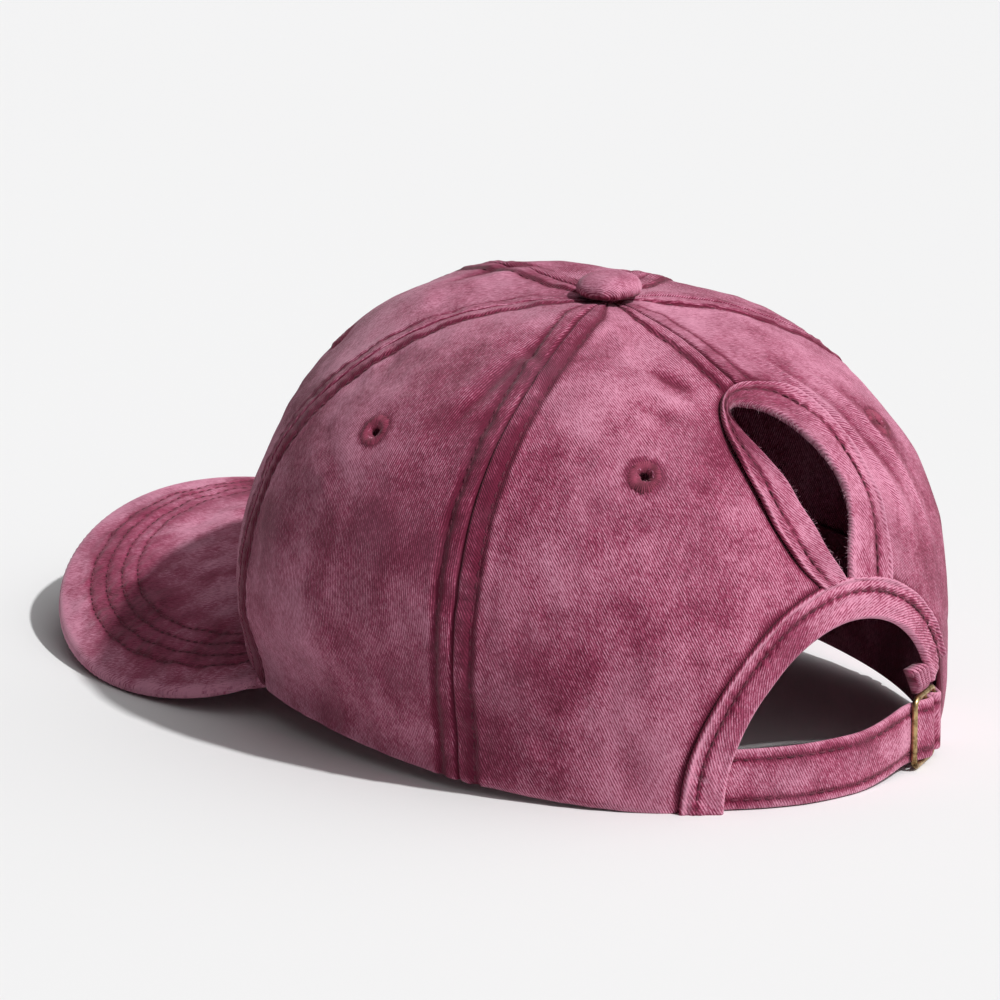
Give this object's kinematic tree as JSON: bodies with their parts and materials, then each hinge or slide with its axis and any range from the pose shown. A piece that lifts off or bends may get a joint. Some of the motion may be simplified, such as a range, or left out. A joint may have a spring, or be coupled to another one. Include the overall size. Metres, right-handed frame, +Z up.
{
  "type": "ponytail baseball cap",
  "caption": "Soft baseball cap with a curved peak, an adjusting strap with a metal slide and a tall slot at the back for a ponytail.",
  "frame": {"origin": "on the floor, below the middle of the cap's footprint", "axes": "+Z up, -Y towards the tip of the peak, +X towards the wearer's left"},
  "size_m": [0.1746, 0.2804, 0.1199],
  "materials": {
    "washed_twill": "garment-washed cotton twill, faded rose red",
    "peak_cloth": "garment-washed cotton twill with rows of topstitching",
    "edge_facing": "cotton twill facing, paler where its folds have worn",
    "strap_cloth": "washed cotton strap, stitched along both edges",
    "button_cloth": "twill stretched over a metal button",
    "eyelet_thread": "dense satin stitching in darker thread",
    "sweatband_cotton": "plain cotton band",
    "antique_brass": "antique brass, slightly dulled"
  },
  "bodies": {
    "root": {"panel_front_left": "washed_twill", "panel_side_left": "washed_twill", "panel_back_left": "washed_twill", "panel_back_right": "washed_twill", "panel_side_right": "washed_twill", "panel_front_right": "washed_twill", "eyelet_1": "eyelet_thread", "eyelet_2": "eyelet_thread", "eyelet_3": "eyelet_thread", "eyelet_4": "eyelet_thread", "eyelet_5": "eyelet_thread", "eyelet_6": "eyelet_thread", "button": "button_cloth", "peak": "peak_cloth", "sweatband": "sweatband_cotton", "arch_binding": "edge_facing", "slot_binding": "edge_facing", "strap": "strap_cloth", "buckle": "antique_brass", "strap_tab": "strap_cloth", "tab_gather": "strap_cloth"}
  },
  "joints": []
}
